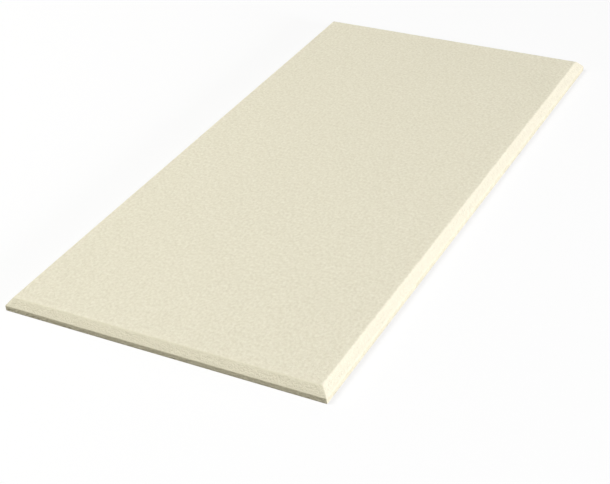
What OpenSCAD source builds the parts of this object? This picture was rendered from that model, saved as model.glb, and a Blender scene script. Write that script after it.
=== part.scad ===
// Acoustic wall panel, pressed from polyester fibre in one piece.
// It lies on its back: the wall face is z = 0, the room face looks up, and the length runs along Y.
// All four edges carry the same moulding, a flat bevel above a square lip, and meet in mitred corners.

/* [Board] */
// Length of the board, over the lips of its two short edges
panel_length = 1200; // [300:10:2800]
// Width of the board, over the lips of its two long edges
panel_width = 600; // [200:10:1250]
// Thickness of the board, from the wall face to the room face
panel_thickness = 24; // [18:1:50]

/* [Edge moulding] */
// How far the bevel reaches in over the room face
bevel_reach = 12.5; // [6:0.5:40]
// How far the bevel drops below the room face
bevel_drop = 14; // [6:0.5:16]

/* [Softened folds] */
// Radius of the fold between the room face and the bevel
face_fold_radius = 6; // [1:0.5:12]
// Radius of the fold between the bevel and the lip
lip_fold_radius = 1.5; // [0.5:0.25:3]
// Radius of the cut edge between the lip and the wall face
back_edge_radius = 0.8; // [0.25:0.05:2]

/* [Hidden] */
$fn = 96;

felt_cream = [0.89, 0.87, 0.78];
lip_height = panel_thickness - bevel_drop;

// The corners of the board's section, for a board that measures span over its lips.
// They go round from the wall face, and each is its place and the radius that softens it.
function section_corners(span) = [
    [[-span/2, 0], back_edge_radius],
    [[span/2, 0], back_edge_radius],
    [[span/2, lip_height], lip_fold_radius],
    [[span/2 - bevel_reach, panel_thickness], face_fold_radius],
    [[-span/2 + bevel_reach, panel_thickness], face_fold_radius],
    [[-span/2, lip_height], lip_fold_radius]
];

// What a round of the given radius takes off a sharp corner. Its tip stands out past the corner.
module corner_waste(before, corner, after, radius) {
    to_before = (before - corner)/norm(before - corner);
    to_after = (after - corner)/norm(after - corner);
    inward = (to_before + to_after)/norm(to_before + to_after);
    half_angle = acos(to_before*to_after)/2;
    tangent_length = radius/tan(half_angle);
    centre = corner + inward*radius/sin(half_angle);
    difference() {
        polygon([
            corner + to_before*tangent_length,
            corner - inward*radius,
            corner + to_after*tangent_length,
            centre
        ]);
        translate(centre) circle(r = radius);
    }
}

// The section of the board, with each corner rounded by a true arc
module section(span) {
    corners = section_corners(span);
    count = len(corners);
    difference() {
        polygon([for (corner = corners) corner[0]]);
        for (i = [0 : count - 1])
            corner_waste(
                corners[(i + count - 1) % count][0],
                corners[i][0],
                corners[(i + 1) % count][0],
                corners[i][1]
            );
    }
}

// A run down the length of the board, which carries the mouldings of the two long edges
module long_run() {
    translate([0, panel_length/2, 0])
        rotate([90, 0, 0])
            linear_extrude(height = panel_length) section(panel_width);
}

// A run across the board, which carries the mouldings of the two short edges
module cross_run() {
    translate([-panel_width/2, 0, 0])
        rotate([90, 0, 90])
            linear_extrude(height = panel_width) section(panel_length);
}

// Where the two runs cross they leave the board, and at its corners their mouldings meet in mitres
module panel() {
    color(felt_cream)
        intersection() {
            long_run();
            cross_run();
        }
}

panel();
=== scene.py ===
# Cream polyester acoustic panel, lying on its wall face on a pale studio floor
import math

import bmesh
import bpy
from mathutils import Matrix, Vector, noise


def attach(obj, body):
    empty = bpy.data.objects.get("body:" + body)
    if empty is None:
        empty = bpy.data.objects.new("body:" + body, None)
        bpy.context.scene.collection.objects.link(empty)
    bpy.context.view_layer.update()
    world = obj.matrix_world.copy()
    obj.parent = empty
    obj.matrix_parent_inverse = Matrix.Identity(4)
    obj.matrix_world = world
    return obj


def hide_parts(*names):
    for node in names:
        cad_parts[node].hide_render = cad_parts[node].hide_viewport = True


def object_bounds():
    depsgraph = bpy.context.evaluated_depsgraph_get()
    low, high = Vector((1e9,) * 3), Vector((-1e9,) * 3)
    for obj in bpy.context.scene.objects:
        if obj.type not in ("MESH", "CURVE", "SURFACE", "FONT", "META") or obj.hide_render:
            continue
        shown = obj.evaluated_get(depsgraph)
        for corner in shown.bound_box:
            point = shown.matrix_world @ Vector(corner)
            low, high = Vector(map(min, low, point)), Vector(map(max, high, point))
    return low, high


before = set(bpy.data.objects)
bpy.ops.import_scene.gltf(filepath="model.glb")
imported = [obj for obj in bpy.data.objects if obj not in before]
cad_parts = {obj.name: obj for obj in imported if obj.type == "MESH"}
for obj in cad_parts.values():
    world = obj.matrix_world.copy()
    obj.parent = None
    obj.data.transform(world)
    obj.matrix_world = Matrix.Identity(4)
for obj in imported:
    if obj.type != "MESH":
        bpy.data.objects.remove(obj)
cadLow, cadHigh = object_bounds()
scene = bpy.context.scene
scene.view_settings.view_transform = "Standard"
print("frame loaded")


# Camera, metres and degrees. The roll turns it a little clockwise.
cameraSetup = {
    "place": (1.0661, -1.9642, 1.3088),
    "aim": (0.1649, -0.3058, 0.0240),
    "roll": -3.089,
    "lens": 80.487,
    "shiftX": -0.0484,
    "shiftY": 0.0432,
}


def addCamera(setup):
    place = Vector(setup["place"])
    forward = (Vector(setup["aim"]) - place).normalized()
    level = forward.cross(Vector((0, 0, 1))).normalized()
    side = Matrix.Rotation(math.radians(-setup["roll"]), 3, forward) @ level
    up = side.cross(forward)
    data = bpy.data.cameras.new("productCamera")
    data.lens = setup["lens"]
    data.shift_x = setup["shiftX"]
    data.shift_y = setup["shiftY"]
    camera = bpy.data.objects.new("productCamera", data)
    turn = Matrix((side, up, -forward)).transposed()
    camera.matrix_world = Matrix.Translation(place) @ turn.to_4x4()
    scene.collection.objects.link(camera)
    scene.camera = camera


addCamera(cameraSetup)
print("camera placed")


# Node helpers, shared by the floor, the world and the felt
def addNode(tree, kind, inputs=None, **settings):
    # each input is a plain value, or another node's socket to link
    node = tree.nodes.new(kind)
    for name, value in settings.items():
        setattr(node, name, value)
    for name, value in (inputs or {}).items():
        if isinstance(value, bpy.types.NodeSocket):
            tree.links.new(value, node.inputs[name])
        else:
            node.inputs[name].default_value = value
    return node


def maths(tree, operation, first, second=0.0, third=0.0):
    inputs = {0: first, 1: second, 2: third}
    return addNode(tree, "ShaderNodeMath", inputs, operation=operation).outputs[0]


def stretched(tree, value, low, high, **settings):
    # value from low to high becomes 0 to 1, and stops there
    inputs = {"Value": value, "From Min": low, "From Max": high}
    return addNode(tree, "ShaderNodeMapRange", inputs, **settings).outputs["Result"]


def opaque(tone):
    # a colour with its alpha, as a node's socket wants it
    return (*tone, 1)


def newMaterial(name):
    material = bpy.data.materials.new(name)
    material.use_nodes = True
    material.node_tree.nodes.clear()
    return material, material.node_tree


def mixedShaders(tree, share, first, second):
    inputs = {0: share, 1: first.outputs[0], 2: second.outputs[0]}
    return addNode(tree, "ShaderNodeMixShader", inputs)


def seenDirectly(tree):
    # 1 for the rays that show the background: camera, glossy and transmission
    path = addNode(tree, "ShaderNodeLightPath")
    shown = maths(tree, "MAXIMUM", path.outputs["Is Camera Ray"], path.outputs["Is Glossy Ray"])
    return maths(tree, "MAXIMUM", shown, path.outputs["Is Transmission Ray"])


# Studio: one pale floor, an even sky and three softboxes
studio = {
    "floorSize": 14.0,
    "floorBounce": (0.17, 0.155, 0.12),  # what the floor throws back at the board
    "floorTone": (0.96, 0.96, 0.96),  # the part of it that the camera sees lit and shadowed
    "floorGlow": 0.75,  # share of plain white in the floor near the board
    "floorFade": (0.9, 2.4),  # metres from the middle, over which it turns all plain white
    "plainWhite": (1.0, 1.0, 1.0),
    "whiteStrength": 1.0,
    "skyTone": (1.0, 1.0, 1.0),
    "skyStrength": 0.12,
}

# Azimuth in degrees from +X towards +Y, distance and side in metres, power in watts
softboxes = {
    "sideBox": {
        "azimuth": -7,
        "elevation": 6.7,
        "distance": 6.0,
        "side": 1.4,
        "power": 461,
        "tone": (0.926, 0.926, 1.0),  # a little cool
    },
    "keyBox": {
        "azimuth": 210,
        "elevation": 52,
        "distance": 7.5,
        "side": 3.0,
        "power": 512,
        "tone": (1.0, 1.0, 0.975),  # a little warm
    },
    "backBox": {
        "azimuth": 95,
        "elevation": 30,
        "distance": 9.0,
        "side": 3.0,
        "power": 60,
        "tone": (1.0, 1.0, 1.0),
    },
}


def addFloor(setup):
    bm = bmesh.new()
    bmesh.ops.create_grid(bm, x_segments=1, y_segments=1, size=setup["floorSize"] / 2)
    mesh = bpy.data.meshes.new("floor")
    bm.to_mesh(mesh)
    bm.free()
    floor = bpy.data.objects.new("floor", mesh)
    scene.collection.objects.link(floor)

    # lit by the lamps near the board, plain white far off, and darker in what it throws back
    material, tree = newMaterial("paleFloor")
    bounce = addNode(tree, "ShaderNodeBsdfDiffuse", {"Color": opaque(setup["floorBounce"])})
    lit = addNode(tree, "ShaderNodeBsdfDiffuse", {"Color": opaque(setup["floorTone"])})
    glow = addNode(tree, "ShaderNodeEmission", {
        "Color": opaque(setup["plainWhite"]),
        "Strength": setup["whiteStrength"],
    })
    coords = addNode(tree, "ShaderNodeTexCoord").outputs["Object"]
    away = addNode(tree, "ShaderNodeVectorMath", {0: coords}, operation="LENGTH").outputs["Value"]
    fade = stretched(tree, away, *setup["floorFade"], interpolation_type="SMOOTHSTEP")
    share = maths(tree, "MULTIPLY_ADD", fade, 1 - setup["floorGlow"], setup["floorGlow"])
    shown = mixedShaders(tree, share, lit, glow)
    pick = mixedShaders(tree, seenDirectly(tree), bounce, shown)
    addNode(tree, "ShaderNodeOutputMaterial", {"Surface": pick.outputs[0]})
    mesh.materials.append(material)


def addWorld(setup):
    # an even sky lights the board, and the camera sees plain white in its place
    world = bpy.data.worlds.new("studioWorld")
    scene.world = world
    world.use_nodes = True
    tree = world.node_tree
    tree.nodes.clear()
    sky = addNode(tree, "ShaderNodeBackground", {
        "Color": opaque(setup["skyTone"]),
        "Strength": setup["skyStrength"],
    })
    white = addNode(tree, "ShaderNodeBackground", {
        "Color": opaque(setup["plainWhite"]),
        "Strength": setup["whiteStrength"],
    })
    pick = mixedShaders(tree, seenDirectly(tree), sky, white)
    addNode(tree, "ShaderNodeOutputWorld", {"Surface": pick.outputs[0]})


def addSoftbox(name, setup):
    # a square lamp that faces the origin
    azimuth = math.radians(setup["azimuth"])
    elevation = math.radians(setup["elevation"])
    outward = Vector((
        math.cos(azimuth) * math.cos(elevation),
        math.sin(azimuth) * math.cos(elevation),
        math.sin(elevation),
    ))
    data = bpy.data.lights.new(name, "AREA")
    data.size = setup["side"]
    data.energy = setup["power"]
    data.color = setup["tone"]
    box = bpy.data.objects.new(name, data)
    box.location = outward * setup["distance"]
    box.rotation_euler = outward.to_track_quat("Z", "Y").to_euler()
    scene.collection.objects.link(box)


addFloor(studio)
addWorld(studio)
for boxName, boxSetup in softboxes.items():
    addSoftbox(boxName, boxSetup)
print("studio lit")


# Felt board, in metres. The moulding runs round all four edges: bevel, lip and the folds between them.
board = {
    "bevelReach": 0.0125,
    "bevelDrop": 0.0140,
    "faceFoldRadius": 0.0060,
    "lipFoldRadius": 0.0015,
    "wallEdgeRadius": 0.0008,
    "cornerSoftness": 0.0010,
    "pitch": 0.0050,  # of the rows and columns across both faces
    "faceFoldSteps": 7,
    "lipFoldSteps": 4,
    "wallEdgeSteps": 4,
    "cornerSteps": 3,
    "bevelCuts": 3,
    "lipCuts": 2,
    "faceFoldSpread": 0.0060,  # how far from each fold the grain lies flatter
    "lipFoldSpread": 0.0030,
    "wallLean": -0.7,  # z of a face's normal: below this it is part of the wall face
    "bevelLean": 0.9,  # and below this, above the lip, part of the bevel
}
lipTop = cadHigh.z - board["bevelDrop"]

# How far the felt wanders from true, in metres: depth and wavelength
feltWaves = {
    "swell": (0.00040, 0.260),
    "ripple": (0.00012, 0.055),
    "dimple": (0.00008, 0.016),
}

# How near two points or two lengths are when they count as the same, in metres
sameSpot = 1e-5
sameDrop = 1e-4
weldGap = 1e-6


def dropOf(edge):
    return abs(edge.verts[0].co.z - edge.verts[1].co.z)


def rimEdges(bm, halfX, halfY, height):
    # the closed loop of edges round that rectangle at that height
    def onRim(vert):
        onSide = abs(abs(vert.co.x) - halfX) < sameSpot or abs(abs(vert.co.y) - halfY) < sameSpot
        return onSide and abs(vert.co.z - height) < sameSpot

    return [edge for edge in bm.edges if onRim(edge.verts[0]) and onRim(edge.verts[1])]


def mitreEdges(bm, halfX, halfY):
    # the edges that climb the four corners, from the wall face to the room face
    def onMitre(vert):
        return abs((halfX - abs(vert.co.x)) - (halfY - abs(vert.co.y))) < sameSpot

    return [
        edge for edge in bm.edges
        if onMitre(edge.verts[0]) and onMitre(edge.verts[1]) and dropOf(edge) > sameSpot
    ]


def roundEdges(bm, edges, offset, steps):
    bmesh.ops.bevel(
        bm, geom=edges, offset=offset, offset_type="OFFSET", segments=steps,
        profile=0.5, affect="EDGES", material=-1, loop_slide=True, clamp_overlap=True,
    )


def addRows(bm, drop, cuts):
    # extra rows along the band whose crossing edges drop by that much
    crossing = [edge for edge in bm.edges if abs(dropOf(edge) - drop) < sameDrop]
    bmesh.ops.subdivide_edges(bm, edges=crossing, cuts=cuts)


def layGrid(bm, halfX, halfY, height, columns, rows):
    # a flat sheet of cells, from -halfX to halfX and from -halfY to halfY
    place = Matrix.Translation((0, 0, height)) @ Matrix.Diagonal((halfX, halfY, 1, 1))
    bmesh.ops.create_grid(bm, x_segments=columns, y_segments=rows, size=1, matrix=place)


def drawDown(bm, edges, scale):
    # pulls a rim outwards and down, and returns its new edges
    drawn = bmesh.ops.extrude_edge_only(bm, edges=edges)["geom"]
    verts = [item for item in drawn if isinstance(item, bmesh.types.BMVert)]
    bmesh.ops.scale(bm, vec=scale, verts=verts)
    return [item for item in drawn if isinstance(item, bmesh.types.BMEdge)]


def buildBoard(setup):
    halfX = (cadHigh.x - cadLow.x) / 2
    halfY = (cadHigh.y - cadLow.y) / 2
    thickness = cadHigh.z - cadLow.z
    faceX = halfX - setup["bevelReach"]
    faceY = halfY - setup["bevelReach"]
    columns = round(2 * halfX / setup["pitch"])
    rows = round(2 * halfY / setup["pitch"])
    bm = bmesh.new()

    # room face, with its rim drawn down the bevel and then the lip
    layGrid(bm, faceX, faceY, thickness, columns, rows)
    rim = [edge for edge in bm.edges if edge.is_boundary]
    rim = drawDown(bm, rim, (halfX / faceX, halfY / faceY, lipTop / thickness))
    drawDown(bm, rim, (1, 1, 0))

    # wall face, welded to the foot of the lip
    layGrid(bm, halfX, halfY, 0, columns, rows)
    bmesh.ops.remove_doubles(bm, verts=bm.verts, dist=weldGap)
    bmesh.ops.recalc_face_normals(bm, faces=bm.faces)

    # softened folds: each offset is the tangent length of its arc
    slope = math.atan2(setup["bevelDrop"], setup["bevelReach"])
    faceFold = setup["faceFoldRadius"] * math.tan(slope / 2)
    lipFold = setup["lipFoldRadius"] * math.tan((math.pi / 2 - slope) / 2)
    roundEdges(bm, rimEdges(bm, faceX, faceY, thickness), faceFold, setup["faceFoldSteps"])
    roundEdges(bm, rimEdges(bm, halfX, halfY, lipTop), lipFold, setup["lipFoldSteps"])
    roundEdges(bm, rimEdges(bm, halfX, halfY, 0), setup["wallEdgeRadius"], setup["wallEdgeSteps"])

    # more rows down the bevel and the lip, then the corners lose their sharpness
    addRows(bm, setup["bevelDrop"] - (faceFold + lipFold) * math.sin(slope), setup["bevelCuts"])
    addRows(bm, lipTop - lipFold - setup["wallEdgeRadius"], setup["lipCuts"])
    roundEdges(bm, mitreEdges(bm, halfX, halfY), setup["cornerSoftness"], setup["cornerSteps"])
    return bm


def markFolds(bm, setup):
    # 1 on the folds and 0 away from them: the hot mould pressed the felt tight there
    foldMark = bm.verts.layers.float.new("fold")
    for vert in bm.verts:
        inward = min(cadHigh.x - abs(vert.co.x), cadHigh.y - abs(vert.co.y))
        toFace = math.hypot(inward - setup["bevelReach"], vert.co.z - cadHigh.z)
        toLip = math.hypot(inward, vert.co.z - lipTop)
        vert[foldMark] = max(0, 1 - toFace / setup["faceFoldSpread"], 1 - toLip / setup["lipFoldSpread"])


def unsettle(bm, waves):
    # pushes each point in or out along its normal, less and less below half the board's height,
    # so that the wall face stays flat
    bm.normal_update()
    halfHeight = cadHigh.z / 2
    pushes = []
    for vert in bm.verts:
        push = sum(depth * noise.noise(vert.co / wave) for depth, wave in waves.values())
        pushes.append(vert.normal * push * min(1, vert.co.z / halfHeight))
    for vert, push in zip(bm.verts, pushes):
        vert.co += push


# Felt. Colours are linear, sizes in metres, depths how far the grain stands proud.
# the felt's cream, with a darker, warmer tone for the low pits that is partly painted shade, and a
# lighter one for the raised parts that is partly painted light
feltTone = {
    "shadedPit": (0.700, 0.650, 0.495),
    "cream": (0.790, 0.745, 0.585),
    "nub": (0.880, 0.845, 0.690),
}

feltFinish = {
    "roughness": 0.95,
    "specular": 0.15,
    "sheen": 0.12,
    "sheenRoughness": 0.6,
    "sheenTone": (1.0, 0.97, 0.88),
}

pressedGrain = {
    "toneAndPaintedLight": (1.0, 1.0, 1.0),
    "lengthwise": 1.25,  # the batt was laid along the board, so its blots are a little longer that way
    "cloudSize": 0.011,
    "cloudDetail": 2.0,
    "blotSize": 0.0048,
    "blotDetail": 1.0,
    "blotDepth": 0.00060,
    "nubSize": 0.0022,
    "nubDetail": 1.0,
    "nubDepth": 0.00050,
    "noiseSpan": (0.25, 0.75),  # most of the noise lies in here, so this becomes the full depth
    "foldDepth": 0.20,  # how much of the relief is left on a fold
    "fibreLength": 0.0080,
    "fibreWidth": 0.00055,
    "fibreAngles": (6, 49, 83, 121, 158),
    "fibreEdge": 0.07,  # how far the noise strays from its middle across half a fibre
    "fibreDepth": 0.00006,
    "bendSize": 0.010,  # the fibres wander by up to bendReach, over about bendSize
    "bendReach": 0.0025,
    "cloudShare": 0.28,  # how much of the colour follows the clouds, the blots and the fibres
    "blotShare": 0.62,
    "fibreShare": 0.30,
}

# the bevels' felt is a little lighter and warmer than the face: painted light on the bevels
mouldedGrain = dict(
    pressedGrain, toneAndPaintedLight=(1.015, 1.015, 0.995), blotDepth=0.00065, nubDepth=0.00060,
    cloudShare=0.12, blotShare=0.20, fibreShare=0.12,
)
# the lips' felt is a little darker and yellower: partly the cut felt's own tone, partly painted shade
# and painted warm bounce light on the lips
cutGrain = dict(
    pressedGrain, toneAndPaintedLight=(0.97, 0.965, 0.90), blotDepth=0.00120, nubDepth=0.00060,
    fibreLength=0.0120, fibreDepth=0.00010, blotShare=0.70,
)
wallGrain = dict(
    pressedGrain, blotDepth=0.00020, nubDepth=0.00020, fibreDepth=0.00004, blotShare=0.50,
)

# one material for each, in this order
feltKinds = {
    "pressedFelt": pressedGrain,
    "mouldedFelt": mouldedGrain,
    "cutFelt": cutGrain,
    "wallFelt": wallGrain,
}

middle = 0.5  # of the noise, which runs from 0 to 1, and of the colour ramp


def blots(tree, coords, size, detail=0.0):
    inputs = {"Vector": coords, "Scale": 1 / size, "Detail": detail}
    return addNode(tree, "ShaderNodeTexNoise", inputs)


def fibres(tree, coords, angle, grain):
    # one way the fibres lie: thin ridges along the middle of long stretched blots
    width = grain["fibreWidth"]
    laid = addNode(tree, "ShaderNodeMapping", {
        "Vector": coords,
        "Rotation": (0, 0, math.radians(angle)),
        "Scale": (grain["fibreLength"], width, width),
    }, vector_type="TEXTURE")
    strand = blots(tree, laid.outputs[0], 1.0).outputs[0]
    offCentre = maths(tree, "ABSOLUTE", maths(tree, "SUBTRACT", strand, middle))
    return stretched(tree, offCentre, grain["fibreEdge"], 0.0, interpolation_type="SMOOTHSTEP")


def fibreWeb(tree, coords, grain):
    # all the ways they lie, on coordinates that wander a little so that the fibres bend
    bend = blots(tree, coords, grain["bendSize"]).outputs["Color"]
    wander = {0: bend, 1: (grain["bendReach"],) * 3, 2: coords}
    bent = addNode(tree, "ShaderNodeVectorMath", wander, operation="MULTIPLY_ADD").outputs[0]
    web = 0.0
    for angle in grain["fibreAngles"]:
        web = maths(tree, "MAXIMUM", fibres(tree, bent, angle, grain), web)
    return web


def feltMaterial(name, grain):
    material, tree = newMaterial(name)
    coords = addNode(tree, "ShaderNodeTexCoord").outputs["Object"]
    web = fibreWeb(tree, coords, grain)
    inputs = {"Vector": coords, "Scale": (1, grain["lengthwise"], 1)}
    drawn = addNode(tree, "ShaderNodeMapping", inputs, vector_type="TEXTURE").outputs[0]
    cloud = blots(tree, drawn, grain["cloudSize"], grain["cloudDetail"]).outputs[0]
    blot = blots(tree, drawn, grain["blotSize"], grain["blotDetail"]).outputs[0]
    blot = stretched(tree, blot, *grain["noiseSpan"])
    nub = blots(tree, coords, grain["nubSize"], grain["nubDetail"]).outputs[0]
    nub = stretched(tree, nub, *grain["noiseSpan"])

    # colour follows the fibres, the blots and faint clouds where the batt was laid thicker; as the
    # fibres and blots also raise the relief, this is partly the felt's own random tone, partly painted
    # shade in the low pits and painted light on the raised parts
    shade = middle
    for layer, share in ((cloud, "cloudShare"), (blot, "blotShare"), (web, "fibreShare")):
        swing = maths(tree, "SUBTRACT", layer, middle)
        shade = maths(tree, "MULTIPLY_ADD", swing, grain[share], shade)
    ramp = addNode(tree, "ShaderNodeValToRGB", {"Fac": shade})
    stops = ramp.color_ramp.elements
    stops.new(middle)
    for stop, tone in zip(stops, ("shadedPit", "cream", "nub")):
        stop.color = opaque(Vector(feltTone[tone]) * Vector(grain["toneAndPaintedLight"]))

    # relief, in metres, lies flatter on the folds
    height = 0.0
    for layer, depth in ((blot, "blotDepth"), (nub, "nubDepth"), (web, "fibreDepth")):
        height = maths(tree, "MULTIPLY_ADD", layer, grain[depth], height)
    fold = addNode(tree, "ShaderNodeAttribute", attribute_name="fold").outputs["Fac"]
    relief = maths(tree, "MULTIPLY_ADD", fold, grain["foldDepth"] - 1, 1.0)
    bump = addNode(tree, "ShaderNodeBump", {"Height": height, "Distance": 1.0, "Strength": relief})

    shader = addNode(tree, "ShaderNodeBsdfPrincipled", {
        "Base Color": ramp.outputs["Color"],
        "Roughness": feltFinish["roughness"],
        "Specular IOR Level": feltFinish["specular"],
        "Sheen Weight": feltFinish["sheen"],
        "Sheen Roughness": feltFinish["sheenRoughness"],
        "Sheen Tint": opaque(feltFinish["sheenTone"]),
        "Normal": bump.outputs[0],
    })
    addNode(tree, "ShaderNodeOutputMaterial", {"Surface": shader.outputs[0]})
    return material


def feltOf(polygon, setup):
    # which felt a face shows, told by its lean and its height
    if polygon.normal.z < setup["wallLean"]:
        return "wallFelt"
    if polygon.center.z < lipTop:
        return "cutFelt"
    if polygon.normal.z < setup["bevelLean"]:
        return "mouldedFelt"
    return "pressedFelt"


def dressFelt(mesh, setup):
    for name, grain in feltKinds.items():
        mesh.materials.append(feltMaterial(name, grain))
    slots = list(feltKinds)
    for polygon in mesh.polygons:
        polygon.use_smooth = True
        polygon.material_index = slots.index(feltOf(polygon, setup))


def addFeltBoard():
    bm = buildBoard(board)
    markFolds(bm, board)
    unsettle(bm, feltWaves)
    mesh = bpy.data.meshes.new("felt_board")
    bm.to_mesh(mesh)
    bm.free()
    dressFelt(mesh, board)
    felt = bpy.data.objects.new("felt_board", mesh)
    scene.collection.objects.link(felt)
    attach(felt, "root")
    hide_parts("panel")
    triangles = sum(len(polygon.vertices) - 2 for polygon in mesh.polygons)
    print("felt board built,", triangles, "triangles")


addFeltBoard()
